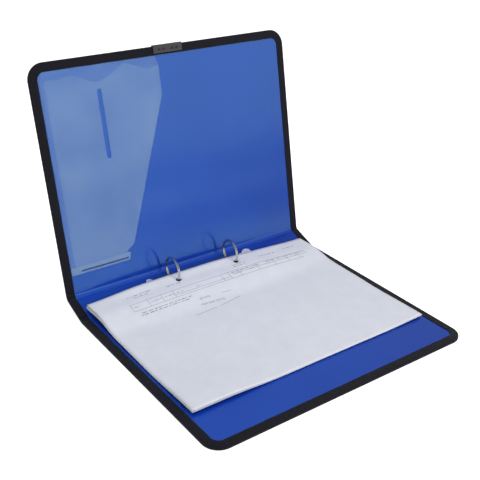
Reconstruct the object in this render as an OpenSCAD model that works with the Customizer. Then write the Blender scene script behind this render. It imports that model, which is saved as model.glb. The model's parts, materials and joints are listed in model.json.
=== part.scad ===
// Two-ring binder, standing open: a back cover flat on the table, a raised spine
// with a trigger-opened ring mechanism, a front cover leaning back, and the sheets
// that hang on its rings. Millimetres, +Z up, +X along the spine, -Y towards the
// free edge of the back cover. Origin: centre of the back cover's underside.

/* [Covers] */
// Cover size from crease to free edge
cover_w = 250; // [200:1:320]
// Cover size along the spine
cover_h = 322; // [250:1:360]
// Radius of the two outer corners of each cover
corner_r = 18; // [14:1:40]
// Visible width of the folded edge tape
tape_w = 9.5; // [8:0.5:13]
// Thickness of the stiffening board
board_t = 2.2; // [1.5:0.1:3]
// Thickness of each plastic sheet and of the tape
skin_t = 0.5; // [0.3:0.1:0.8]

/* [Spine] */
// Distance between the two creases
spine_w = 34; // [33:1:50]
// Slope of the spine above the table
spine_tilt = 19; // [0:1:60]
// How far the front cover leans back from upright
cover_lean = 11.6; // [0:0.2:60]

/* [Rings] */
// Distance between the two rings
ring_pitch = 80; // [80:1:80]
// Radius of a ring at the middle of its wire
ring_r = 14; // [12:0.5:14]
// Diameter of the ring wire
wire_d = 2.9; // [2:0.1:3.2]

/* [Sheets] */
// Height of the pile of sheets under the top one
pile_t = 1.2; // [0.6:0.1:1.2]
// Diameter of the filing holes
hole_d = 7; // [6.8:0.1:7]

/* [Hidden] */
$fn = 64;

// Covers
half_h = cover_h / 2;
crease_y = cover_w / 2;
crease_z = board_t + 2 * skin_t;
panel_t = crease_z;
groove = 3;
bead_r = 0.9;
bead_gap = 0.05;
front_rel = 90 - cover_lean - spine_tilt;

// Ring mechanism, measured from the middle of the spine and its lining
housing_half = 56;
housing_r = 8.5;
housing_t = 0.8;
housing_rise = 6.5;
housing_drop = housing_r - housing_rise;
notch_x = 4.4;
notch_in = 2.2;
rivet_x = 22;
rivet_r = 1.9;
rivet_hole_r = 2;
head_r = 3.2;
head_ball = 6;
head_top = housing_rise + 0.9;
washer_r = 4.5;
washer_t = 0.5;
tail_r = 3.2;
tail_t = 0.6;
ring_w = ring_r + 2.5;
wire_r = wire_d / 2;
ring_foot = 20;
leg_v = ring_r * sin(ring_foot);
leg_top = ring_w - ring_r * cos(ring_foot);
ring_gap = 0.2;
carrier_v = 4.9;
carrier_w = 1.3;
carrier_t = 0.8;
carrier_in = 0.25;
carrier_half = 51.5;
carrier_slope = 4;
carrier_cut_r = 2.6;

// Triggers
pin_x = 53.5;
pin_w = 1.7;
pin_r = 0.7;
pin_half = 6.25;
hub_r = 1.35;
hub_bore = 0.76;
hub_half = 2.8;
arm_reach = 3.2;
arm_half = 1.5;
arm_low = 0.12;
arm_t = 0.38;
tab_t = 1.2;
tab_rise = 15;
tab_start = 1;
tab_neck = 5.6;
tab_disc_x = 14;
tab_disc_r = 5.5;

// Front cover trim
film_t = 0.25;
film_gap = 0.2;
film_left = -(half_h - tape_w - film_gap);
film_top = cover_w - tape_w - film_gap;
hem_t = 0.3;
slit_x = -86.5;
slit_low = 144;
slit_high = 213;
slit_w = 5;
badge_w = 36;
badge_t = 1.2;
badge_x = 1.5;
badge_low = cover_w - 7.6;
badge_lip = 3;
mark_side = 2.8;
mark_t = 0.4;
mark_places = [-11, -5.4, 5.4, 11];

// Sheets
sheet_l = 297;
sheet_w = 210;
sheet_t = 0.3;
edge_margin = 12;
ring_y = crease_y + spine_w / 2 * cos(spine_tilt) - ring_w * sin(spine_tilt);
ring_z = crease_z + spine_w / 2 * sin(spine_tilt) + ring_w * cos(spine_tilt);
hole_y = ring_y - 11.34;
sheet_back = hole_y + edge_margin;
sheet_front = sheet_back - sheet_w + 0.7;
level_z = ring_z - 9.32;
level_y = sheet_back - 21;
foot_y = sheet_back - 71;
foot_z = 5.6;
front_z = 3.9;

// ---- frames of reference ----

// Cover frame of the back cover: t runs from the crease to the free edge
module at_back() {
  translate([0, crease_y, crease_z]) mirror([0, 1, 0]) children();
}

// Spine frame: v runs from the back crease to the front crease, w is up
module at_spine() {
  translate([0, crease_y, crease_z]) rotate([spine_tilt, 0, 0]) children();
}

// Middle of the spine, where the mechanism sits
module at_mech() {
  at_spine() translate([0, spine_w / 2, 0]) children();
}

// Cover frame of the front cover
module at_front() {
  at_spine() translate([0, spine_w, 0]) rotate([front_rel, 0, 0]) children();
}

// ---- shapes shared by the two covers ----

// Outline of a cover, drawn in by an inset, starting beside the crease
module cover_outline(inset, start) {
  union() {
    translate([-(half_h - inset), start])
      square([2 * (half_h - inset), cover_w - corner_r - start]);
    translate([-(half_h - corner_r), start])
      square([2 * (half_h - corner_r), cover_w - inset - start]);
    for (s = [-1, 1])
      translate([s * (half_h - corner_r), cover_w - corner_r])
        circle(r = corner_r - inset);
  }
}

module cover_board() {
  translate([0, 0, -panel_t + skin_t])
    linear_extrude(board_t) cover_outline(skin_t, groove);
}

module cover_skin() {
  translate([0, 0, -panel_t])
    linear_extrude(skin_t) cover_outline(tape_w, groove);
}

module cover_lining() {
  translate([0, 0, -skin_t])
    linear_extrude(skin_t) cover_outline(skin_t, bead_r + bead_gap);
}

module tape_flange() {
  linear_extrude(skin_t)
    difference() {
      cover_outline(0, groove);
      cover_outline(tape_w, 0);
    }
}

module cover_binding() {
  union() {
    translate([0, 0, -panel_t]) tape_flange();
    tape_flange();
    translate([0, 0, -panel_t])
      linear_extrude(panel_t + skin_t)
        difference() {
          cover_outline(0, groove);
          cover_outline(skin_t, 0);
        }
  }
}

// ---- back cover ----

module back_board() {
  color([0.45, 0.42, 0.38]) at_back() cover_board();
}

module back_outer_skin() {
  color([0.06, 0.13, 0.45]) at_back() cover_skin();
}

module back_lining() {
  color([0.08, 0.16, 0.6]) at_back() cover_lining();
}

module back_binding() {
  color([0.03, 0.03, 0.045]) at_back() cover_binding();
}

// ---- spine ----

// Holes of the two rivets through the spine
module rivet_holes() {
  for (s = [-1, 1])
    translate([s * rivet_x, spine_w / 2, -2 * panel_t])
      cylinder(r = rivet_hole_r, h = 4 * panel_t);
}

module spine_panel(inset, low, t) {
  difference() {
    translate([-(half_h - inset), groove, low])
      cube([2 * (half_h - inset), spine_w - 2 * groove, t]);
    rivet_holes();
  }
}

module spine_board() {
  color([0.45, 0.42, 0.38]) at_spine() spine_panel(skin_t, -panel_t + skin_t, board_t);
}

module spine_outer_skin() {
  color([0.06, 0.13, 0.45]) at_spine() spine_panel(tape_w, -panel_t, skin_t);
}

// Bead that fills a crease
module bead(v) {
  translate([-half_h, v, 0]) rotate([0, 90, 0]) cylinder(r = bead_r, h = cover_h);
}

module spine_lining() {
  color([0.07, 0.14, 0.58]) at_spine()
    difference() {
      translate([-(half_h - skin_t), 0, -skin_t])
        cube([2 * (half_h - skin_t), spine_w, skin_t]);
      bead(0);
      bead(spine_w);
      rivet_holes();
    }
}

module spine_binding(side) {
  color([0.03, 0.03, 0.045]) at_spine() mirror([side < 0 ? 1 : 0, 0, 0])
    union() {
      translate([half_h - tape_w, groove, 0])
        cube([tape_w, spine_w - 2 * groove, skin_t]);
      translate([half_h - tape_w, groove, -panel_t])
        cube([tape_w, spine_w - 2 * groove, skin_t]);
      translate([half_h - skin_t, groove, -panel_t])
        cube([skin_t, spine_w - 2 * groove, panel_t + skin_t]);
    }
}

module spine_binding_left() {
  spine_binding(-1);
}

module spine_binding_right() {
  spine_binding(1);
}

module back_crease() {
  color([0.07, 0.14, 0.58]) at_spine() bead(0);
}

module front_crease() {
  color([0.07, 0.14, 0.58]) at_spine() bead(spine_w);
}

// ---- ring mechanism: fixed parts ----

// Solid of the arch, used to form the housing and to seat the rivet heads
module arch(r) {
  translate([-housing_half, 0, -housing_drop])
    rotate([0, 90, 0]) cylinder(r = r, h = 2 * housing_half);
}

module trigger_pin_solid(side, r) {
  translate([side * pin_x, 0, pin_w])
    rotate([90, 0, 0]) cylinder(r = r, h = 2 * pin_half, center = true);
}

module ring_housing() {
  color([0.7, 0.7, 0.72]) at_mech()
    difference() {
      arch(housing_r);
      arch(housing_r - housing_t);
      translate([-cover_h, -cover_h, -2 * cover_h]) cube([2 * cover_h, 2 * cover_h, 2 * cover_h]);
      for (sx = [-1, 1])
        for (sy = [0, 1])
          mirror([0, sy, 0])
            translate([sx * ring_pitch / 2 - notch_x / 2, notch_in, -1])
              cube([notch_x, 2 * housing_r, 2 * housing_r]);
      for (s = [-1, 1])
        translate([s * rivet_x, 0, 0]) cylinder(r = rivet_hole_r, h = 2 * housing_rise);
      trigger_pin_solid(-1, pin_r);
      trigger_pin_solid(1, pin_r);
    }
}

module rivet(side) {
  color([0.72, 0.72, 0.74]) at_mech()
    difference() {
      translate([side * rivet_x, 0, 0])
        union() {
          intersection() {
            translate([0, 0, head_top - head_ball]) sphere(r = head_ball);
            cylinder(r = head_r, h = 2 * head_top);
          }
          translate([0, 0, -panel_t - washer_t]) cylinder(r = rivet_r, h = panel_t + washer_t + housing_rise);
          translate([0, 0, -panel_t - washer_t - tail_t]) cylinder(r = tail_r, h = tail_t);
        }
      difference() {
        arch(housing_r);
        translate([side * rivet_x, 0, -panel_t]) cylinder(r = rivet_r, h = 4 * panel_t);
      }
    }
}

module left_rivet() {
  rivet(-1);
}

module right_rivet() {
  rivet(1);
}

module washer(side) {
  color([0.72, 0.72, 0.74]) at_mech()
    translate([side * rivet_x, 0, -panel_t - washer_t])
      difference() {
        cylinder(r = washer_r, h = washer_t);
        translate([0, 0, -washer_t]) cylinder(r = rivet_hole_r, h = 3 * washer_t);
      }
}

module left_washer() {
  washer(-1);
}

module right_washer() {
  washer(1);
}

module left_trigger_pin() {
  color([0.6, 0.6, 0.62]) at_mech() trigger_pin_solid(-1, pin_r);
}

module right_trigger_pin() {
  color([0.6, 0.6, 0.62]) at_mech() trigger_pin_solid(1, pin_r);
}

// ---- ring mechanism: moving parts, drawn for the rear side ----

module at_carrier() {
  translate([0, carrier_v, carrier_w]) rotate([carrier_slope, 0, 0]) children();
}

module carrier() {
  difference() {
    at_carrier()
      union() {
        translate([-carrier_half, -(carrier_v - carrier_in), -carrier_t / 2])
          cube([2 * carrier_half, carrier_v - carrier_in, carrier_t]);
        translate([-carrier_half, 0, 0])
          rotate([0, 90, 0]) cylinder(r = carrier_t / 2, h = 2 * carrier_half);
      }
    for (s = [-1, 1])
      translate([s * rivet_x, 0, -1]) cylinder(r = carrier_cut_r, h = 2 * housing_rise);
  }
}

// Half ring on a short straight leg, cut flat where the leg stands on the carrier
module ring_half(side) {
  difference() {
    union() {
      translate([side * ring_pitch / 2, 0, ring_w])
        rotate([90, 0, 90]) rotate([0, 0, ring_foot - 90])
          rotate_extrude(angle = 180 - ring_foot - ring_gap)
            translate([ring_r, 0]) circle(r = wire_r);
      translate([side * ring_pitch / 2, leg_v, leg_top]) sphere(r = wire_r);
      translate([side * ring_pitch / 2, leg_v, 0]) cylinder(r = wire_r, h = leg_top);
    }
    at_carrier()
      translate([side * ring_pitch / 2 - wire_d, -carrier_v - 1, -wire_d])
        cube([2 * wire_d, carrier_v + 3, wire_d + carrier_t / 2]);
  }
}

module rear_carrier() {
  color([0.62, 0.62, 0.64]) at_mech() carrier();
}

module rear_ring_left() {
  color([0.78, 0.78, 0.8]) at_mech() ring_half(-1);
}

module rear_ring_right() {
  color([0.78, 0.78, 0.8]) at_mech() ring_half(1);
}

module front_carrier() {
  color([0.62, 0.62, 0.64]) at_mech() mirror([0, 1, 0]) carrier();
}

module front_ring_left() {
  color([0.78, 0.78, 0.8]) at_mech() mirror([0, 1, 0]) ring_half(-1);
}

module front_ring_right() {
  color([0.78, 0.78, 0.8]) at_mech() mirror([0, 1, 0]) ring_half(1);
}

// Trigger lever: an arm under the carriers, a hub on the pin, a rounded thumb tab
module trigger() {
  translate([pin_x, 0, pin_w])
    difference() {
      union() {
        rotate([90, 0, 0]) cylinder(r = hub_r, h = 2 * hub_half, center = true);
        translate([-arm_reach, -arm_half, arm_low - pin_w])
          cube([arm_reach + tab_start / 2, 2 * arm_half, arm_t]);
        rotate([0, -tab_rise, 0])
          union() {
            translate([tab_start, -tab_neck / 2, -tab_t / 2])
              cube([tab_disc_x - tab_start, tab_neck, tab_t]);
            translate([tab_disc_x, 0, -tab_t / 2]) cylinder(r = tab_disc_r, h = tab_t);
          }
      }
      rotate([90, 0, 0]) cylinder(r = hub_bore, h = 4 * hub_half, center = true);
    }
}

module left_trigger() {
  color([0.75, 0.76, 0.78]) at_mech() mirror([1, 0, 0]) trigger();
}

module right_trigger() {
  color([0.75, 0.76, 0.78]) at_mech() trigger();
}

// ---- front cover ----

module front_board() {
  color([0.45, 0.42, 0.38]) at_front() cover_board();
}

module front_outer_skin() {
  color([0.06, 0.13, 0.45]) at_front() cover_skin();
}

module front_lining() {
  color([0.1, 0.25, 0.68]) at_front() cover_lining();
}

module front_binding() {
  color([0.03, 0.03, 0.045]) at_front() cover_binding();
}

// Clear film with a cut-away side, a thumb notch above the hem and a straight slit
module front_pocket() {
  color([0.3, 0.42, 0.72]) at_front()
    linear_extrude(film_t)
      difference() {
        intersection() {
          polygon([
            [film_left, 24], [-80, 23], [-77.6, 31.5], [-82.3, 34], [-72, 41],
            [-12.2, 199], [-12.2, 231], [-15, film_top], [film_left, film_top]
          ]);
          cover_outline(tape_w + film_gap, groove);
        }
        translate([slit_x - slit_w / 2, slit_low]) square([slit_w, slit_high - slit_low]);
        translate([slit_x, slit_low]) circle(r = slit_w / 2);
        translate([slit_x, slit_high]) circle(r = slit_w / 2);
      }
}

module pocket_hem() {
  color([0.28, 0.4, 0.7]) at_front()
    translate([0, 0, film_t])
      linear_extrude(hem_t)
        polygon([[film_left, 24], [-80, 23], [-77.6, 31.5], [film_left, 33]]);
}

module badge_plate() {
  color([0.36, 0.35, 0.35]) at_front()
    union() {
      translate([badge_x - badge_w / 2, badge_low, skin_t])
        cube([badge_w, cover_w + badge_t - badge_low, badge_t]);
      translate([badge_x - badge_w / 2, cover_w, skin_t - badge_lip])
        cube([badge_w, badge_t, badge_lip + badge_t]);
    }
}

module badge_rivets() {
  color([0.08, 0.08, 0.09]) at_front()
    for (x = mark_places)
      translate([badge_x + x - mark_side / 2, (badge_low + cover_w - mark_side) / 2, skin_t + badge_t])
        cube([mark_side, mark_side, mark_t]);
}

// ---- sheets on the rings ----

// Side outline of a pile that starts at a height above the lowest sheet
module pile_side(low, t) {
  polygon([
    [sheet_back, level_z + low], [level_y, level_z + low],
    [foot_y, foot_z + low], [sheet_front, front_z + low],
    [sheet_front, front_z + low + t], [foot_y, foot_z + low + t],
    [level_y, level_z + low + t], [sheet_back, level_z + low + t]
  ]);
}

module pile(low, t) {
  difference() {
    rotate([90, 0, 90]) linear_extrude(sheet_l, center = true) pile_side(low, t);
    for (s = [-1, 1])
      translate([s * ring_pitch / 2, hole_y, 0]) cylinder(d = hole_d, h = 2 * ring_z);
  }
}

module page_stack() {
  color([0.82, 0.83, 0.88]) pile(0, pile_t);
}

module top_sheet() {
  color([0.86, 0.87, 0.92]) pile(pile_t, sheet_t);
}

// ---- what is drawn ----

back_board();
back_outer_skin();
back_lining();
back_binding();
spine_board();
spine_outer_skin();
spine_lining();
spine_binding_left();
spine_binding_right();
back_crease();
front_crease();
ring_housing();
left_rivet();
right_rivet();
left_washer();
right_washer();
left_trigger_pin();
right_trigger_pin();
front_board();
front_outer_skin();
front_lining();
front_binding();
front_pocket();
pocket_hem();
badge_plate();
badge_rivets();
rear_carrier();
rear_ring_left();
rear_ring_right();
front_carrier();
front_ring_left();
front_ring_right();
left_trigger();
right_trigger();
page_stack();
top_sheet();
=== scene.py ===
"""Looks of the open two-ring binder: the CAD frame with finished materials, woven edge tape,
bending creases, a frosted film pocket and loose punched sheets with generic print on them.
Metres throughout; lengths written in millimetres are multiplied by MM."""
import json
import math
import random

import bpy
from mathutils import Matrix, Vector, noise


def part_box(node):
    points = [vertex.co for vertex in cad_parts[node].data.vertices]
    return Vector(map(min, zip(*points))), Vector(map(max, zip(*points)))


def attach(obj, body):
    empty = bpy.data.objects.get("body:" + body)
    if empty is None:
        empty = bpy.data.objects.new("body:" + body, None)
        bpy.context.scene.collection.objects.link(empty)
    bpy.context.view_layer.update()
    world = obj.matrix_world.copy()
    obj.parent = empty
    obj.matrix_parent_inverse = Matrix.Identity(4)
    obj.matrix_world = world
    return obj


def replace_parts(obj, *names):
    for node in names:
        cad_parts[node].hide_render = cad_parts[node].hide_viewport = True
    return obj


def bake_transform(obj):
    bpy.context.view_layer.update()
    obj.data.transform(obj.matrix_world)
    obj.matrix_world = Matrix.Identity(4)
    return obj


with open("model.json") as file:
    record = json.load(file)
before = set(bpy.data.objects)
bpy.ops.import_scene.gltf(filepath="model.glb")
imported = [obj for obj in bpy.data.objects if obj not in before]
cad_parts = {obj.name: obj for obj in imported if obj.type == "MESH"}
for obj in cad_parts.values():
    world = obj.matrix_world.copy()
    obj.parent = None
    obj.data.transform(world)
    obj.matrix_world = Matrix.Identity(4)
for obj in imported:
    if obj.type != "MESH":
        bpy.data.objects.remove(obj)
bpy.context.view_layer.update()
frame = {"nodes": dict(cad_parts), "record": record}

MM = 0.001

# ---- the CAD's main sizes, in metres, read from the frame ----

JOINTS = {j["name"]: j for j in frame["record"]["behaviour"]["joints"]}
BACK_CREASE = Vector(JOINTS["spine_fold"]["pos_m"])
FRONT_CREASE = Vector(JOINTS["cover_fold"]["pos_m"])
RING_CENTRE = Vector(JOINTS["sheets_follow"]["pos_m"])
TAPE_LOW, TAPE_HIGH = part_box("back_binding")
PANEL_T = BACK_CREASE.z
HALF_H = TAPE_HIGH.x
COVER_W = BACK_CREASE.y - TAPE_LOW.y
SKIN_T = TAPE_HIGH.z - PANEL_T
GROOVE = BACK_CREASE.y - TAPE_HIGH.y
SPINE_W = (FRONT_CREASE - BACK_CREASE).length
TAPE_W = HALF_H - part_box("back_outer_skin")[1].x
CORNER_R = 18 * MM
COVER_LEAN = math.radians(11.6)


class Panel:
    """A flat frame: x along the spine, t away from a crease, w up out of the lining."""

    def __init__(self, origin, along):
        self.origin = Vector(origin)
        self.along = Vector(along).normalized()
        self.up = Vector((1, 0, 0)).cross(self.along)
        if self.along.y < 0:
            self.up = -self.up

    def __call__(self, x, t, w=0.0):
        return self.origin + Vector((x, 0, 0)) + self.along * t + self.up * w


BACK = Panel(BACK_CREASE, (0, -1, 0))
SPINE = Panel(BACK_CREASE, FRONT_CREASE - BACK_CREASE)
FRONT = Panel(FRONT_CREASE, (0, math.sin(COVER_LEAN), math.cos(COVER_LEAN)))


# ---- small helpers ----


def smooth(x):
    """0 below 0, 1 above 1, and an even turn between them."""
    x = min(max(x, 0.0), 1.0)
    return x * x * (3 - 2 * x)


def lerp(a, b, u):
    return a + (b - a) * u


def soft_max(a, b, width):
    """The larger of two heights, with an even turn between them."""
    over = max(0.0, width - abs(a - b))
    return max(a, b) + over * over / (4 * width)


def ripple(a, b, c=0.0):
    """Smooth noise from -1 to 1 that is the same on every run."""
    return noise.noise(Vector((a, b, c)))


def new_piece(name, verts, faces, material, body=None, slot=None, shade_smooth=True):
    mesh = bpy.data.meshes.new(name)
    mesh.from_pydata([tuple(v) for v in verts], [], faces)
    mesh.validate()
    mesh.update()
    obj = bpy.data.objects.new(name, mesh)
    bpy.context.scene.collection.objects.link(obj)
    mesh.materials.append(material)
    for p in mesh.polygons:
        p.use_smooth = shade_smooth
    if body:
        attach(obj, body)
    return obj


def grid_faces(rows, cols, start=0, flip=False):
    faces = []
    for i in range(rows - 1):
        for j in range(cols - 1):
            a = start + i * cols + j
            f = (a, a + 1, a + cols + 1, a + cols)
            faces.append(f[::-1] if flip else f)
    return faces


def slab(name, top, rows, cols, thickness, material, **kw):
    """Closed thin sheet: top(u, v) gives a point and the direction out of the sheet there."""
    verts_top, verts_low = [], []
    for i in range(rows):
        for j in range(cols):
            p, n = top(i / (rows - 1), j / (cols - 1))
            verts_top.append(p)
            verts_low.append(p - n * thickness)
    count = rows * cols
    faces = grid_faces(rows, cols) + grid_faces(rows, cols, count, flip=True)
    rim = list(range(cols))
    rim += [i * cols + cols - 1 for i in range(1, rows)]
    rim += [(rows - 1) * cols + j for j in range(cols - 2, -1, -1)]
    rim += [i * cols for i in range(rows - 2, 0, -1)]
    for a, b in zip(rim, rim[1:] + rim[:1]):
        faces.append((b, a, a + count, b + count))
    return new_piece(name, verts_top + verts_low, faces, material, **kw)


def sweep(name, rings, material, strip, **kw):
    """Joins closed section loops into one solid. strip holds (along, across) for each point."""
    n = len(rings[0])
    verts = [p for ring in rings for p in ring]
    faces = []
    for i in range(len(rings) - 1):
        for j in range(n):
            k = (j + 1) % n
            faces.append((i * n + j, i * n + k, (i + 1) * n + k, (i + 1) * n + j))
    faces.append(tuple(range(n - 1, -1, -1)))
    faces.append(tuple((len(rings) - 1) * n + j for j in range(n)))
    obj = new_piece(name, verts, faces, material, **kw)
    layer = obj.data.attributes.new("strip", "FLOAT_VECTOR", "POINT")
    layer.data.foreach_set("vector", [c for along, across in strip for c in (along, across, 0.0)])
    return obj


# ---- node materials ----


class Nodes:
    """A short way to write a node material."""

    def __init__(self, name):
        self.mat = bpy.data.materials.new(name)
        self.mat.use_nodes = True
        self.tree = self.mat.node_tree
        self.shader = self.tree.nodes["Principled BSDF"]

    def add(self, kind, **settings):
        node = self.tree.nodes.new("ShaderNode" + kind)
        for key, value in settings.items():
            if hasattr(node, key):
                setattr(node, key, value)
            else:
                node.inputs[key.replace("_", " ")].default_value = value
        return node

    def link(self, a, b):
        self.tree.links.new(a, b)

    def set(self, **values):
        for key, value in values.items():
            self.shader.inputs[key.replace("_", " ")].default_value = value

    def coords(self, scale=(1, 1, 1)):
        source = self.add("TexCoord")
        mapping = self.add("Mapping")
        mapping.inputs["Scale"].default_value = scale
        self.link(source.outputs["Object"], mapping.inputs["Vector"])
        return mapping.outputs["Vector"]

    def noise(self, scale, detail=3.0, roughness=0.5, coords=None):
        node = self.add("TexNoise", Scale=scale, Detail=detail, Roughness=roughness)
        self.link(coords or self.coords(), node.inputs["Vector"])
        return node.outputs["Fac"]

    def ramp(self, fac, *stops):
        node = self.add("ValToRGB")
        ramp = node.color_ramp
        while len(ramp.elements) < len(stops):
            ramp.elements.new(0.5)
        for element, (position, colour) in zip(ramp.elements, stops):
            element.position = position
            element.color = (*colour, 1)
        self.link(fac, node.inputs["Fac"])
        return node.outputs["Color"]

    def span(self, fac, low, high, from_low=0.0, from_high=1.0):
        """Maps fac from from_low..from_high onto low..high."""
        node = self.add("MapRange")
        node.inputs["From Min"].default_value = from_low
        node.inputs["From Max"].default_value = from_high
        node.inputs["To Min"].default_value = low
        node.inputs["To Max"].default_value = high
        self.link(fac, node.inputs["Value"])
        return node.outputs["Result"]

    def math(self, operation, a, b=None):
        node = self.add("Math", operation=operation)
        for socket, value in zip(node.inputs, (a, b)):
            if value is None:
                continue
            if isinstance(value, (int, float)):
                socket.default_value = value
            else:
                self.link(value, socket)
        return node.outputs[0]

    def panel_t(self, panel):
        """Distance away from the crease on a panel, at rest."""
        node = self.add("VectorMath", operation="DOT_PRODUCT")
        self.link(self.coords(), node.inputs[0])
        node.inputs[1].default_value = panel.along
        return self.math("SUBTRACT", node.outputs["Value"], panel.origin.dot(panel.along))

    def coord_x(self):
        parts = self.add("SeparateXYZ")
        self.link(self.coords(), parts.inputs["Vector"])
        return parts.outputs["X"]

    def colour(self, socket):
        self.link(socket, self.shader.inputs["Base Color"])

    def roughness(self, socket):
        self.link(socket, self.shader.inputs["Roughness"])

    def bump(self, *heights):
        """heights are (socket, depth in metres) pairs, chained."""
        previous = None
        for socket, depth in heights:
            node = self.add("Bump", Strength=1.0, Distance=depth)
            self.link(socket, node.inputs["Height"])
            if previous:
                self.link(previous, node.inputs["Normal"])
            previous = node.outputs["Normal"]
        self.link(previous, self.shader.inputs["Normal"])


# Lit and shaded tones of one lining: painted light, lighter at the left end and darker at the right
LINING_SHADED_RIGHT = (0.006, 0.031, 0.330)
LINING_LIT_LEFT = (0.007, 0.047, 0.405)
LINING_PAINTED_SIDE_LIGHT = 0.28


def blue_lining(name="blue_lining", depth=1.0, gloss=0.95):
    """Smooth calendered PVC: glossy, with faint waves from the board and a little haze. Its colour holds
    painted light: lighter towards the left end, darker towards the right.
    """
    m = Nodes(name)
    # Painted light: the colour runs lighter towards the left end and darker towards the right
    side = m.span(m.coord_x(), LINING_PAINTED_SIDE_LIGHT, -LINING_PAINTED_SIDE_LIGHT, -HALF_H, HALF_H)
    shade = m.math("ADD", m.noise(7.0, 2.0), side)
    # depth below 1 darkens both tones: the spine's copy uses it as painted shade
    right, left = (tuple(depth * c for c in tone) for tone in (LINING_SHADED_RIGHT, LINING_LIT_LEFT))
    m.colour(m.ramp(shade, (0.25, right), (0.75, left)))
    haze = m.noise(55.0, 4.0, 0.6)
    m.roughness(m.span(haze, 0.12, 0.17))
    m.set(IOR=1.62, Specular_IOR_Level=gloss, Specular_Tint=(0.5, 1.0, 0.85, 1.0))
    m.bump((m.noise(9.0, 1.0), 0.0003), (m.noise(900.0, 2.0), 0.000003))
    return m.mat


def blue_skin():
    """Outer PVC with a fine leather grain."""
    m = Nodes("blue_skin")
    cells = m.add("TexVoronoi", feature="DISTANCE_TO_EDGE", Scale=900.0)
    m.link(m.coords(), cells.inputs["Vector"])
    grain = m.span(cells.outputs["Distance"], 0.0, 1.0, 0.0, 0.25)
    m.colour(m.ramp(grain, (0.0, (0.006, 0.020, 0.150)), (1.0, (0.010, 0.038, 0.260))))
    m.roughness(m.span(m.noise(40.0), 0.32, 0.46))
    m.bump((grain, 0.00008), (m.noise(12.0, 1.0), 0.0004))
    return m.mat


RIB_PITCH = 0.55 * MM
WARP_PITCH = 0.45 * MM


def edge_tape():
    """Black grosgrain: fine ribs across the tape and a tight selvedge."""
    m = Nodes("edge_tape")
    strip = m.add("Attribute", attribute_name="strip")
    parts = m.add("SeparateXYZ")
    m.link(strip.outputs["Vector"], parts.inputs["Vector"])
    along, across = parts.outputs["X"], parts.outputs["Y"]
    rib = m.math("SINE", m.math("MULTIPLY", along, 2 * math.pi / RIB_PITCH))
    warp = m.math("SINE", m.math("MULTIPLY", across, 2 * math.pi / WARP_PITCH))
    rows = m.math("MULTIPLY", m.math("ADD", rib, 1.0), 0.5)
    weave = m.math("MULTIPLY", rows, m.span(warp, 0.75, 1.0, -1.0, 1.0))
    fluff = m.noise(260.0, 4.0, 0.7)
    tone = m.math("MULTIPLY", m.span(weave, 0.55, 1.0), m.span(fluff, 0.6, 1.25))
    m.colour(m.ramp(tone, (0.0, (0.003, 0.003, 0.005)), (1.0, (0.010, 0.010, 0.015))))
    m.roughness(m.span(fluff, 0.62, 0.85))
    m.set(Sheen_Weight=0.08, Sheen_Roughness=0.4, Specular_IOR_Level=0.22)
    m.bump((weave, 0.00012), (fluff, 0.00006))
    return m.mat


# Where the film lies tight on the lining, from the tape inwards: along its top and its left side
CLING_TOP = (12 * MM, 11.2 * MM)
CLING_LEFT = (5 * MM, 7 * MM)
CLING_CLEARS = 0.45


def frosted_film():
    """Clear PP film with a milky haze. It clings to the lining in scallops along its top."""
    m = Nodes("clear_film")
    cloud = m.noise(16.0, 3.0)
    m.colour(m.ramp(cloud, (0.35, (0.25, 0.42, 0.69)), (0.7, (0.31, 0.48, 0.75))))
    m.roughness(m.span(m.noise(80.0, 3.0), 0.16, 0.28))
    scallop = m.noise(24.0, 1.0, 0.4)
    reach = m.math("ADD", m.panel_t(FRONT), m.span(scallop, -0.020, 0.016))
    tape_t, tape_x = COVER_W - TAPE_W, -HALF_H + TAPE_W
    cling = m.span(reach, 0.0, 1.0, tape_t - CLING_TOP[0], tape_t - CLING_TOP[1])
    left = m.span(m.coord_x(), 1.0, 0.0, tape_x + CLING_LEFT[0], tape_x + CLING_LEFT[1])
    thin = m.math("MULTIPLY", m.math("MAXIMUM", cling, left), CLING_CLEARS)
    haze = m.math("MULTIPLY", m.span(cloud, 0.23, 0.29, 0.35, 0.7), m.math("SUBTRACT", 1.0, thin))
    m.link(haze, m.shader.inputs["Alpha"])
    m.bump((m.noise(14.0, 1.0), 0.0005), (m.noise(600.0), 0.000003))
    return m.mat


# The dark slot in the hem, as (low, high) away from the crease and (left, right) along it
HEM_SLOT_T = (26.2 * MM, 27.6 * MM)
HEM_SLOT_X = (-139 * MM, -81 * MM)


def film_hem():
    """Doubled film of the hem, with the dark slot of its weld near the lower edge."""
    m = Nodes("film_hem")
    t = m.panel_t(FRONT)
    above = m.math("GREATER_THAN", t, HEM_SLOT_T[0])
    slot = m.math("MULTIPLY", above, m.math("LESS_THAN", t, HEM_SLOT_T[1]))
    slot = m.math("MULTIPLY", slot, m.math("GREATER_THAN", m.coord_x(), HEM_SLOT_X[0]))
    slot = m.math("MULTIPLY", slot, m.math("LESS_THAN", m.coord_x(), HEM_SLOT_X[1]))
    m.colour(m.ramp(slot, (0.2, (0.30, 0.48, 0.74)), (0.8, (0.005, 0.030, 0.20))))
    m.roughness(m.span(m.noise(90.0), 0.2, 0.34))
    haze = m.math("MAXIMUM", m.span(m.noise(24.0), 0.22, 0.30), m.math("MULTIPLY", slot, 0.8))
    m.link(haze, m.shader.inputs["Alpha"])
    m.bump((m.noise(40.0, 1.0), 0.0003))
    return m.mat


def nickel():
    """Bright nickel plating with faint drawing lines and a few duller patches."""
    m = Nodes("steel")
    patch = m.noise(160.0, 3.0, 0.6)
    m.colour(m.ramp(patch, (0.3, (0.52, 0.52, 0.50)), (0.7, (0.66, 0.66, 0.63))))
    m.roughness(m.span(patch, 0.05, 0.13))
    m.set(Metallic=1.0)
    m.bump((m.noise(1400.0, 2.0, coords=m.coords((0.05, 1, 1))), 0.000004))
    return m.mat


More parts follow.
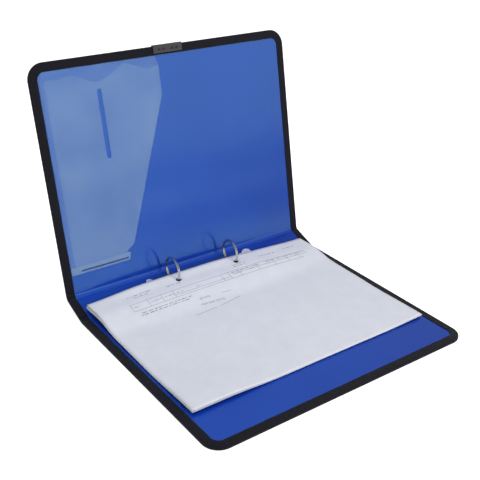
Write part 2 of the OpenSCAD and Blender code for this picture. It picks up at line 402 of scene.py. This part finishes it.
def satin_plate_painted_reflection():
    """Satin plating of the thumb tabs, with fine scuffs. Its pale blue-white tint and half-metallic,
    diffusely lit surface are a painted reflection of the blue lining and bright surroundings.
    """
    m = Nodes("satin_steel_painted_reflection")
    scuff = m.noise(420.0, 4.0, 0.7)
    m.colour(m.ramp(scuff, (0.3, (0.66, 0.70, 0.78)), (0.7, (0.80, 0.83, 0.88))))
    m.roughness(m.span(scuff, 0.18, 0.34))
    m.set(Metallic=0.55)
    m.bump((scuff, 0.000008))
    return m.mat


def plain_strip():
    """Rolled spring strip of the carriers and pins."""
    m = Nodes("spring_steel")
    lines = m.noise(900.0, 2.0, coords=m.coords((0.03, 1, 1)))
    m.colour(m.ramp(lines, (0.3, (0.40, 0.40, 0.41)), (0.7, (0.52, 0.52, 0.52))))
    m.roughness(m.span(lines, 0.26, 0.42))
    m.set(Metallic=1.0)
    m.bump((lines, 0.00002))
    return m.mat


def badge_metal():
    """Dull plate with a fine brushed grain along it."""
    m = Nodes("badge")
    lines = m.noise(700.0, 3.0, coords=m.coords((0.04, 1, 1)))
    m.colour(m.ramp(lines, (0.3, (0.075, 0.074, 0.076)), (0.7, (0.115, 0.112, 0.115))))
    m.roughness(m.span(lines, 0.38, 0.55))
    m.set(Metallic=0.7)
    m.bump((lines, 0.00003))
    return m.mat


def badge_studs():
    m = Nodes("badge_mark")
    speck = m.noise(1500.0)
    m.colour(m.ramp(speck, (0.3, (0.012, 0.012, 0.013)), (0.7, (0.028, 0.028, 0.03))))
    m.roughness(m.span(speck, 0.4, 0.6))
    m.bump((speck, 0.00003))
    return m.mat


def grey_board():
    """Recycled board: flecked grey, seen only in section."""
    m = Nodes("board")
    fleck = m.noise(1200.0, 5.0, 0.7)
    m.colour(m.ramp(fleck, (0.3, (0.20, 0.18, 0.15)), (0.7, (0.34, 0.31, 0.27))))
    m.roughness(m.span(fleck, 0.8, 0.95))
    m.bump((fleck, 0.0001))
    return m.mat


def office_paper():
    """White uncoated paper, a little cool, with formation clouds and fibre tooth."""
    m = Nodes("paper")
    cloud = m.noise(60.0, 4.0, 0.6)
    m.colour(m.ramp(cloud, (0.3, (0.635, 0.65, 0.70)), (0.7, (0.675, 0.69, 0.735))))
    m.roughness(m.span(m.noise(500.0), 0.55, 0.7))
    m.set(Specular_IOR_Level=0.25)
    m.bump((m.noise(2500.0, 3.0, 0.7), 0.000012), (m.noise(10.0, 2.0), 0.0003))
    return m.mat


def printing_ink():
    m = Nodes("print_ink")
    fade = m.noise(700.0, 3.0)
    m.colour(m.ramp(fade, (0.3, (0.10, 0.10, 0.14)), (0.7, (0.26, 0.26, 0.32))))
    m.roughness(m.span(fade, 0.5, 0.7))
    m.bump((fade, 0.000005))
    return m.mat


# The part of the floor that gloss sees dimmer: its middle, and how far it reaches
DIM_SPOT = (0.55, -0.55, 0.0)
DIM_REACH = (0.27, 0.62)
LENS_GLOW = 0.85


def floor_material():
    """White sweep. It glows to the lens only, and gloss on the object sees it dimmer to one side."""
    m = Nodes("floor")
    path = m.add("LightPath")
    reach = m.add("VectorMath", operation="DISTANCE")
    m.link(m.coords(), reach.inputs[0])
    reach.inputs[1].default_value = DIM_SPOT
    close = m.span(reach.outputs["Value"], 1.0, 0.0, *DIM_REACH)
    dim = m.math("MULTIPLY", close, path.outputs["Is Glossy Ray"])
    m.colour(m.ramp(dim, (0.0, (0.71, 0.71, 0.71)), (1.0, (0.28, 0.28, 0.28))))
    m.roughness(m.span(m.noise(20.0), 0.75, 0.85))
    m.set(Specular_IOR_Level=0.1, Emission_Color=(1, 1, 1, 1))
    glow = m.math("MULTIPLY", path.outputs["Is Camera Ray"], LENS_GLOW)
    m.link(glow, m.shader.inputs["Emission Strength"])
    return m.mat


MATERIALS = {
    "board": grey_board(),
    "blue_skin": blue_skin(),
    "blue_lining": blue_lining(),
    "edge_tape": edge_tape(),
    "clear_film": frosted_film(),
    "steel": nickel(),
    "spring_steel": plain_strip(),
    "badge": badge_metal(),
    "badge_mark": badge_studs(),
    "paper": office_paper(),
}
HEM_FILM = film_hem()
# The spine's lining: the same PVC made darker and less glossy, painted shade in the spine between the
# covers
SPINE_PAINTED_SHADE_LINING = blue_lining("spine_lining", 0.85, 0.6)
INK = printing_ink()
TAB_PLATE_PAINTED_REFLECTION = satin_plate_painted_reflection()


def dress_cad_nodes():
    """Every CAD node gets the finished material of its slot."""
    slots = {s["node"]: s["material_slot"] for s in frame["record"]["subparts"]}
    for name, obj in frame["nodes"].items():
        obj.data.materials.clear()
        # The thumb tabs get the satin plate with a painted reflection
        if name.endswith("_trigger"):
            material = TAB_PLATE_PAINTED_REFLECTION
        elif name == "spine_lining":
            material = SPINE_PAINTED_SHADE_LINING
        else:
            material = MATERIALS[slots[name]]
        obj.data.materials.append(material)


# ---- woven edge tape ----

TAPE_T = 0.5 * MM
SECTION_STEPS = 5
FOLD_R = 1.1 * MM
# Ridges woven along the tape: (depth in from the edge, height), in millimetres
TAPE_RIDGES = ((8.7, 0.05), (8.1, 0.0), (7.5, 0.04), (4.8, 0.04), (4.3, 0.0), (3.8, 0.04), (2.2, 0.03))
TAPE_BACK = (3.0, 5.0, 7.5)
SELVEDGE = 0.6 * MM


def tape_section():
    """Closed loop of (depth in from the edge, height w): outside of the fold, then inside."""
    top = SKIN_T
    low = -PANEL_T
    outer = [(TAPE_W, top - 0.12 * MM), (TAPE_W - 0.25 * MM, top + 0.02 * MM)]
    for d, lift in TAPE_RIDGES:
        outer.append((d * MM, top + lift * MM))
    for k in range(SECTION_STEPS + 1):
        a = math.pi / 2 * k / SECTION_STEPS
        outer.append((FOLD_R * (1 - math.sin(a)), top - FOLD_R * (1 - math.cos(a))))
    for k in range(SECTION_STEPS + 1):
        a = math.pi / 2 * k / SECTION_STEPS
        outer.append((FOLD_R * (1 - math.cos(a)), low + FOLD_R * (1 - math.sin(a))))
    outer += [(d * MM, low) for d in TAPE_BACK]
    outer.append((TAPE_W, low))
    inner = [(TAPE_W, low + TAPE_T), (TAPE_T, low + TAPE_T)]
    inner += [(TAPE_T, top - TAPE_T), (TAPE_W, top - TAPE_T)]
    return outer + inner


def section_girth(section):
    """Distance along the section at each of its points."""
    total, girth = 0.0, [0.0]
    for (a, b), (c, d) in zip(section, section[1:]):
        total += math.hypot(c - a, d - b)
        girth.append(total)
    return girth


def tape_edge(path, to_world, name, **kw):
    """path lists (x, t, outward normal, distance along) on the outline of a panel."""
    section = tape_section()
    girth = section_girth(section)
    rings, strip = [], []
    for x, t, normal, s in path:
        fray = 0.22 * MM * ripple(s * 330, 0.3) + 0.25 * MM * ripple(s * 60, 4.1)
        ring = []
        for (d, w), g in zip(section, girth):
            inset = d + (fray if d > TAPE_W - SELVEDGE else 0.0)
            lift = 0.05 * MM * ripple(s * 25, d * 90) if w > 0 else 0.0
            ring.append(to_world(x - normal[0] * inset, t - normal[1] * inset, w + lift))
            strip.append((s, g))
        rings.append(ring)
    return sweep(name, rings, MATERIALS["edge_tape"], strip=strip, slot="edge_tape", **kw)


PATH_STEP = 2.0 * MM
CORNER_STEPS = 18
SIDE_STEPS = 8


def cover_path():
    """Round three sides of a cover, from one crease end to the other."""
    corner_x, corner_t = HALF_H - CORNER_R, COVER_W - CORNER_R
    path, s = [], 0.0

    def run(a, b, normal):
        nonlocal s
        n = max(2, round((b - a).length / PATH_STEP))
        for i in range(n):
            p = a.lerp(b, i / n)
            path.append((p.x, p.y, normal, s + (b - a).length * i / n))
        s += (b - a).length

    def turn(cx, start):
        nonlocal s
        for i in range(CORNER_STEPS):
            bend = math.pi / 2 * i / CORNER_STEPS
            normal = (math.cos(start - bend), math.sin(start - bend))
            along = s + CORNER_R * bend
            path.append((cx + CORNER_R * normal[0], corner_t + CORNER_R * normal[1], normal, along))
        s += CORNER_R * math.pi / 2

    run(Vector((-HALF_H, GROOVE)), Vector((-HALF_H, corner_t)), (-1, 0))
    turn(-corner_x, math.pi)
    run(Vector((-corner_x, COVER_W)), Vector((corner_x, COVER_W)), (0, 1))
    turn(corner_x, math.pi / 2)
    run(Vector((HALF_H, corner_t)), Vector((HALF_H, GROOVE)), (1, 0))
    path.append((HALF_H, GROOVE, (1, 0), s))
    return path


def side_path(side, start, end):
    """Straight along one end of a panel."""
    stops = [lerp(start, end, i / SIDE_STEPS) for i in range(SIDE_STEPS + 1)]
    return [(side * HALF_H, t, (side, 0), t) for t in stops]


def build_tapes():
    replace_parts(tape_edge(cover_path(), BACK, "back_tape", body="back_cover"), "back_binding")
    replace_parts(tape_edge(cover_path(), FRONT, "front_tape", body="front_cover"), "front_binding")
    for side, label in ((-1, "left"), (1, "right")):
        path = side_path(side, GROOVE, SPINE_W - GROOVE)
        piece = tape_edge(path, SPINE, f"spine_tape_{label}", body="spine")
        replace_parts(piece, f"spine_binding_{label}")


# ---- creases between the panels ----


class Crease:
    """The strip between two panels: u runs from one panel's edge to the other's."""

    def __init__(self, first, second, first_t, second_t, bodies):
        self.ends = (first, second)
        self.t = (first_t, second_t)
        self.bodies = bodies
        turn = first.along if first is not BACK else -first.along
        half = turn.angle(second.along) / 2
        self.bisector = (first.up + second.up).normalized()
        self.reach = 1 / math.cos(half)
        self.axis = second.origin

    def __call__(self, x, u, w):
        a = self.ends[0](x, self.t[0], w)
        c = self.ends[1](x, self.t[1], w)
        b = self.axis + Vector((x, 0, 0)) + self.bisector * (w * self.reach)
        return a * (1 - u) ** 2 + b * (2 * u * (1 - u)) + c * u * u

    def blend(self, piece):
        start = self.ends[0](0, self.t[0])
        end = self.ends[1](0, self.t[1])
        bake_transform(piece)


CREASE_PROUD = 0.02 * MM
CREASE_STEPS = 12


def crease_sheet(crease, name, w_top, material_slot):
    """A strip of one sheet across the crease, between the tapes' outer layers."""
    half_x = HALF_H - TAPE_T

    def top(i, j):
        return crease(lerp(-half_x, half_x, i), j, w_top), crease.bisector

    piece = slab(name, top, 41, 13, SKIN_T, MATERIALS[material_slot], slot=material_slot)
    crease.blend(piece)
    return piece


def crease_tape(crease, name, side):
    """The edge tape where it runs over the crease."""
    section = tape_section()
    girth = section_girth(section)
    rings, strip = [], []
    for i in range(CREASE_STEPS + 1):
        u = i / CREASE_STEPS
        rings.append([crease(side * (HALF_H - d), u, w) for d, w in section])
        strip += [(u * 2 * GROOVE, g) for g in girth]
    piece = sweep(name, rings, MATERIALS["edge_tape"], strip=strip, slot="edge_tape")
    crease.blend(piece)


def build_creases():
    back = Crease(BACK, SPINE, GROOVE, GROOVE, ("back_cover", "spine"))
    front = Crease(SPINE, FRONT, SPINE_W - GROOVE, GROOVE, ("spine", "front_cover"))
    for crease, label in ((back, "back"), (front, "front")):
        inner = crease_sheet(crease, f"{label}_crease_lining", CREASE_PROUD, "blue_lining")
        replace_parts(inner, f"{label}_crease")
        crease_sheet(crease, f"{label}_crease_skin", -PANEL_T + SKIN_T, "blue_skin")
        for side, end in ((-1, "left"), (1, "right")):
            crease_tape(crease, f"{label}_crease_tape_{end}", side)


# ---- film pocket ----

FILM_T = 0.25 * MM
FILM_GAP = 0.3 * MM
POCKET_LEFT = -HALF_H + TAPE_W + FILM_GAP
POCKET_LOW = 24.0 * MM
POCKET_TOP = COVER_W - TAPE_W - FILM_GAP
POCKET_ROWS, POCKET_COLS = 70, 40
# Right edge of the pocket from the hem up: (t, x) in millimetres
POCKET_SIDE = [
    (24.0, -80.0), (31.5, -77.6), (34.0, -82.3), (41.0, -72.0),
    (199.0, -12.2), (231.0, -12.2), (240.4, -15.0),
]
SLIT_X, SLIT_LOW, SLIT_HIGH, SLIT_R = -86.5 * MM, 144 * MM, 213 * MM, 2.5 * MM
HEM_HIGH = 32.5 * MM
HEM_STRAIGHT = 31.5 * MM
HEM_T = 0.28 * MM
HEM_STAND = 0.3 * MM
WELD_DEPTH = 0.18 * MM


def pocket_edge(t):
    """x of the pocket's free side at a height t."""
    side = [(a * MM, b * MM) for a, b in POCKET_SIDE]
    for (t0, x0), (t1, x1) in zip(side, side[1:]):
        if t <= t1:
            return lerp(x0, x1, max(0.0, (t - t0) / (t1 - t0)))
    return side[-1][1]


def film_lift(x, t):
    """How far the film stands off the lining: most beside its free side."""
    right = pocket_edge(t)
    u = (x - POCKET_LEFT) / (right - POCKET_LEFT)
    ends = smooth((t - POCKET_LOW) / (40 * MM)) * smooth((POCKET_TOP - t) / (30 * MM))
    wave = 0.25 + 0.35 * ripple(x * 18, t * 14, 2.0)
    belly = max(0.0, wave) * math.sin(math.pi * min(u, 1))
    return (0.10 + ends * (0.54 * u * u + belly)) * MM


def cut(obj, tool):
    """Takes tool out of obj, and keeps the result as obj's mesh."""
    mod = obj.modifiers.new("cut", "BOOLEAN")
    mod.operation = "DIFFERENCE"
    mod.solver = "EXACT"
    mod.object = tool
    bpy.context.view_layer.update()
    result = bpy.data.meshes.new_from_object(obj.evaluated_get(bpy.context.evaluated_depsgraph_get()))
    obj.modifiers.clear()
    obj.data = result
    bpy.data.objects.remove(tool)


def prism(loop, low, high, place):
    """Tool solid: a flat loop of (a, b) points drawn out from low to high."""
    n = len(loop)
    verts = [place(a, b, low) for a, b in loop] + [place(a, b, high) for a, b in loop]
    faces = [tuple(range(n))[::-1], tuple(range(n, 2 * n))]
    faces += [(i, (i + 1) % n, n + (i + 1) % n, n + i) for i in range(n)]
    return new_piece("tool", verts, faces, INK, shade_smooth=False)


def build_pocket():
    even = [lerp(POCKET_LOW, POCKET_TOP, i / POCKET_ROWS) for i in range(POCKET_ROWS + 1)]
    levels = sorted(set([a * MM for a, _ in POCKET_SIDE] + even))

    def top(i, j):
        t = levels[round(i * (len(levels) - 1))]
        x = lerp(POCKET_LEFT, pocket_edge(t), j)
        return FRONT(x, t, film_lift(x, t) + FILM_T), FRONT.up

    film = slab("pocket_film", top, len(levels), POCKET_COLS, FILM_T, MATERIALS["clear_film"])
    arc = [math.pi * k / 12 for k in range(13)]
    loop = [(SLIT_X + SLIT_R * math.cos(a), SLIT_HIGH + SLIT_R * math.sin(a)) for a in arc]
    loop += [(SLIT_X - SLIT_R * math.cos(a), SLIT_LOW - SLIT_R * math.sin(a)) for a in arc]
    cut(film, prism(loop, -4 * MM, 6 * MM, FRONT))
    film.data.materials.clear()
    film.data.materials.append(MATERIALS["clear_film"])
    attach(film, "front_cover")
    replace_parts(film, "front_pocket")

    def hem_top(i, j):
        t = lerp(POCKET_LOW - HEM_STAND, HEM_HIGH, i)
        x = lerp(POCKET_LEFT, pocket_edge(min(t, HEM_STRAIGHT)), j)
        weld = WELD_DEPTH * abs(2 * i - 1) ** 6
        return FRONT(x, t, film_lift(x, t) + FILM_T + HEM_STAND - weld), FRONT.up

    hem = slab("pocket_hem_strip", hem_top, 15, 30, HEM_T, HEM_FILM, body="front_cover", slot="clear_film")
    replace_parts(hem, "pocket_hem")


# ---- sheets ----

SHEET_L = 297 * MM
SHEET_W = 210 * MM
HOLE_R = 3.0 * MM
HOLE_PLAY = 0.75 * MM
CLOSED_SLOPE = 0.0325
RING_R = 14 * MM
BACK_EDGE_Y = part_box("page_stack")[1].y
LEVEL_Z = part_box("page_stack")[1].z
FRONT_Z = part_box("page_stack")[0].z + 0.3 * MM
RING_X = 40 * MM
PILE_H = 1.2 * MM
PILE_COUNT = 7
# Where the pile leaves the creased level and where it lies flat, in from its back edge
PILE_FLAT = 22 * MM
PILE_FOOT = 74 * MM
# The printed sheet on top of the pile
TOP_LEVEL = 1.3 * MM
TOP_T = 0.16 * MM
TOP_SHIFT = (0.2 * MM, -0.6 * MM)
TOP_LOOSE = 0.7
# Heights that the sheets bend up or down by
BACK_SAG_LEFT, BACK_SAG_RIGHT = 2.4 * MM, 4.4 * MM
FAN_DROP = 5.5 * MM
LIP_H = 2.2 * MM
CURL_LEFT, CURL_RIGHT = 2.6 * MM, 1.0 * MM
WAVE_H = 0.35 * MM
LINING_CLEAR = 0.35 * MM
SHEET_ROWS, SHEET_COLS = 64, 72
HOLE_SIDES = 32


def sheet_profile(s):
    """(y, z) of the pile's lowest sheet at distance s in from its back edge."""
    down = smooth((s - PILE_FLAT) / (PILE_FOOT - PILE_FLAT))
    drop = LEVEL_Z - PILE_H - FRONT_Z
    settle = 1.6 * MM * (1 - smooth((s - PILE_FOOT) / (90 * MM))) * down
    z = FRONT_Z + drop * (1 - down) + settle
    return BACK_EDGE_Y - s + 0.4 * MM * smooth(s / PILE_FOOT), z


def sheet_point(x, s, level, loose):
    """A point of a sheet: level is its height in the pile, loose how much it curls."""
    y, z = sheet_profile(s)
    ends = abs(x) / (SHEET_L / 2)
    back = 1 - smooth(s / (110 * MM))
    sag = (BACK_SAG_LEFT if x < 0 else BACK_SAG_RIGHT) * back * smooth((ends - 0.25) / 0.75) ** 1.3
    # The lower sheets fan down at the left back corner
    corner = smooth((-x - 85 * MM) / (60 * MM)) * (1 - smooth(s / (85 * MM)))
    sag += FAN_DROP * (TOP_LOOSE - loose) * corner
    middle = smooth((x + 150 * MM) / (60 * MM)) * smooth((70 * MM - x) / (60 * MM))
    lip = LIP_H * (1 - smooth(s / (16 * MM))) * middle
    near_front = smooth((s - 120 * MM) / (90 * MM))
    left = smooth((-x - 40 * MM) / (70 * MM))
    right = smooth((x - 95 * MM) / (55 * MM))
    curl = near_front * left * (CURL_LEFT + 1.8 * MM * loose)
    curl += near_front * right * CURL_RIGHT * (1 + loose)
    wave = WAVE_H * ripple(x * 11, s * 9, 0.5) * smooth(s / (60 * MM))
    # Room for the pile to tip towards the crease as the binder closes
    lowest = PANEL_T + LINING_CLEAR + max(0.0, y) * CLOSED_SLOPE
    return Vector((x, y, soft_max(z - sag + lip + curl + wave, lowest, 1.0 * MM) + level))


def sheet_solid(name, level, thickness, shift, turn, loose):
    """One sheet, shifted and turned a little in the pile, with its two punched holes."""
    def top(i, j):
        s = lerp(0, SHEET_W, i)
        x = lerp(-SHEET_L / 2, SHEET_L / 2, j)
        p = sheet_point(x, s, level + thickness, loose)
        slip = Vector((shift[0] - turn * (p.y - BACK_EDGE_Y), shift[1] + turn * p.x, 0))
        return p + slip, Vector((0, 0, 1))

    material = MATERIALS["paper"]
    piece = slab(name, top, SHEET_ROWS, SHEET_COLS, thickness, material)
    for side in (-1, 1):
        depth = RING_CENTRE.z - (LEVEL_Z - PILE_H) - level - thickness / 2
        x, y = side * RING_X, RING_CENTRE.y - math.sqrt(RING_R ** 2 - depth ** 2) - HOLE_PLAY
        turns = [2 * math.pi * k / HOLE_SIDES for k in range(HOLE_SIDES)]
        loop = [(x + HOLE_R * math.cos(a), y + HOLE_R * math.sin(a)) for a in turns]
        cut(piece, prism(loop, 0.0, 30 * MM, lambda a, b, c: Vector((a, b, c))))
    piece.data.materials.clear()
    piece.data.materials.append(material)
    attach(piece, "sheets")
    return piece


def build_sheets():
    rng = random.Random(11)
    pitch = PILE_H / PILE_COUNT
    pile = []
    for k in range(PILE_COUNT):
        shift = (rng.uniform(-0.7, 0.7) * MM, rng.uniform(-0.5, 0.3) * MM)
        turn = rng.uniform(-0.0025, 0.0025)
        loose = k / PILE_COUNT * 0.4
        pile.append(sheet_solid(f"sheet_{k + 1}", k * pitch, pitch * 0.8, shift, turn, loose))
    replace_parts(pile[0], "page_stack")
    top = sheet_solid("printed_sheet", TOP_LEVEL, TOP_T, TOP_SHIFT, 0.0, TOP_LOOSE)
    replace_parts(top, "top_sheet")


# ---- print on the top sheet: generic rules and dashes, no lettering ----

# All in millimetres, across the sheet (x) and in from its back edge (s).
# Lines of dashes and long rules are (x, s, end x), short bars (x, s, end s)
PRINT_LINES = [
    (-108, 14, -77), (-101, 18, -84), (-59, 18, -41), (-106, 45, -43), (-108, 48, -47),
    (31, 18, 50), (30, 22, 46), (71, 16, 94), (110, 13.5, 127), (20, 31, 60), (70, 30.5, 128),
]
PRINT_RULES = [(-112, 28.5, 132), (-112, 40, 122), (-60, 36.6, 16), (20, 34, 132)]
PRINT_BARS = [(x, 28.5, 40) for x in (-112, -91, -74, -59, 6, 16, 30, 56, 80, 100, 118)]
PRINT_COLUMNS = (-109, -88, -71, -56, -30, 22, 44, 66, 88, 108)
# Pen strokes as (x, s, end x, end s), and rows of pen ticks as (x, s, count)
PRINT_STROKES = [(-9, 54, 2, 55.5), (-57, 75, -28, 73.5), (-24, 73, 7, 68)]
PEN_TICKS = [(-37, 51, 7), (-41, 60, 16)]
RULE_WIDTH = 0.4
WORD_GAP = 1.6
MARK_LIFT = 0.05 * MM


def build_print():
    rng = random.Random(4)
    verts, faces = [], []

    def mark(x0, s0, x1, s1, width):
        """A thin flat ink stroke on the sheet from (x0, s0) to (x1, s1)."""
        a, b = Vector((x0, s0)), Vector((x1, s1))
        n = max(1, round((b - a).length / 2))
        side = Vector((-(b - a).y, (b - a).x)).normalized() * width / 2
        start = len(verts)
        for i in range(n + 1):
            p = a.lerp(b, i / n)
            for q in (p + side, p - side):
                point = sheet_point(q.x * MM, q.y * MM, TOP_LEVEL + TOP_T + MARK_LIFT, TOP_LOOSE)
                verts.append(point + Vector((*TOP_SHIFT, 0)))
        for k in range(start, start + 2 * n, 2):
            faces.append((k, k + 1, k + 3, k + 2))

    def words(x0, s, x1, height=1.1):
        """A line of print seen from afar: short dashes of uneven length."""
        x = x0
        while x < x1:
            w = rng.uniform(1.5, 6.0)
            mark(x, s, min(x + w, x1), s, height * rng.uniform(0.6, 1.0))
            x += w + WORD_GAP * rng.uniform(0.7, 1.6)

    for x0, s, x1 in PRINT_LINES:
        words(x0, s, x1)
    for x0, s, x1 in PRINT_RULES:
        mark(x0, s, x1, s, RULE_WIDTH)
    for x, low, high in PRINT_BARS:
        mark(x, low, x, high, RULE_WIDTH)
    for x in PRINT_COLUMNS:
        words(x, 34, x + rng.uniform(6, 13), 0.9)
    for x0, s0, x1, s1 in PRINT_STROKES:
        mark(x0, s0, x1, s1, 0.5)
    for x0, s0, count in PEN_TICKS:
        for k in range(count):
            x, s = x0 + 1.9 * k, s0 + 0.12 * k
            mark(x, s, x + rng.uniform(-0.6, 1.2), s + rng.uniform(1.6, 4.2), 0.55)
    new_piece("print_marks", verts, faces, INK, body="sheets", slot="paper", shade_smooth=False)


# ---- camera, floor and light ----


def build_camera():
    """Where the photographer stood: left of the object, well above it."""
    azimuth, elevation, roll = math.radians(-36.55), math.radians(28.51), math.radians(1.397)
    back = Vector((
        math.sin(azimuth) * math.cos(elevation),
        -math.cos(azimuth) * math.cos(elevation),
        math.sin(elevation),
    ))
    right = Vector((math.cos(azimuth), math.sin(azimuth), 0))
    up = back.cross(right)
    x_axis = right * math.cos(roll) + up * math.sin(roll)
    y_axis = up * math.cos(roll) - right * math.sin(roll)
    data = bpy.data.cameras.new("camera")
    data.lens = 60.31
    data.sensor_width = 36
    data.shift_x = -0.003
    data.shift_y = 0.05
    data.clip_start = 0.01
    camera = bpy.data.objects.new("camera", data)
    turn = Matrix((x_axis, y_axis, back)).transposed().to_4x4()
    camera.matrix_world = Matrix.Translation((-0.45485, -0.55525, 0.46942)) @ turn
    bpy.context.scene.collection.objects.link(camera)
    bpy.context.scene.camera = camera


def area_light(name, at, towards, size, power):
    """A round light that gloss does not mirror."""
    data = bpy.data.lights.new(name, "AREA")
    data.shape = "DISK"
    data.size = size
    data.energy = power
    light = bpy.data.objects.new(name, data)
    light.location = at
    light.rotation_euler = (Vector(towards) - Vector(at)).to_track_quat("-Z", "Y").to_euler()
    light.visible_glossy = False
    bpy.context.scene.collection.objects.link(light)


# The world's brightness by height, from the horizon (0) to straight up (1)
SKY = (
    (0.0, (0.92, 0.93, 0.94)), (0.16, (0.96, 0.97, 0.98)),
    (0.42, (0.34, 0.345, 0.36)), (1.0, (0.20, 0.21, 0.23)),
)
FLOOR_HALF = 6.0


def build_studio():
    mesh = bpy.data.meshes.new("floor")
    corners = [(a * FLOOR_HALF, b * FLOOR_HALF, 0) for a, b in ((-1, -1), (1, -1), (1, 1), (-1, 1))]
    mesh.from_pydata(corners, [], [(0, 1, 2, 3)])
    mesh.materials.append(floor_material())
    floor = bpy.data.objects.new("floor", mesh)
    floor.location.z = -0.0002
    bpy.context.scene.collection.objects.link(floor)
    world = bpy.data.worlds.new("studio")
    world.use_nodes = True
    nodes, links = world.node_tree.nodes, world.node_tree.links
    sky = nodes.new("ShaderNodeTexCoord")
    height = nodes.new("ShaderNodeSeparateXYZ")
    dome = nodes.new("ShaderNodeValToRGB")
    while len(dome.color_ramp.elements) < len(SKY):
        dome.color_ramp.elements.new(0.5)
    for element, (position, colour) in zip(dome.color_ramp.elements, SKY):
        element.position = position
        element.color = (*colour, 1)
    links.new(sky.outputs["Generated"], height.inputs["Vector"])
    links.new(height.outputs["Z"], dome.inputs["Fac"])
    links.new(dome.outputs["Color"], nodes["Background"].inputs["Color"])
    nodes["Background"].inputs["Strength"].default_value = 0.95
    bpy.context.scene.world = world
    area_light("key", (0.5, -1.5, 0.75), (0, 0.1, 0.1), 0.8, 14.5)
    area_light("top", (-0.2, -0.1, 1.8), (0, 0, 0), 1.4, 19)
    bpy.context.scene.view_settings.view_transform = "Standard"


build_camera()
build_studio()
dress_cad_nodes()
build_tapes()
build_creases()
build_pocket()
build_sheets()
build_print()
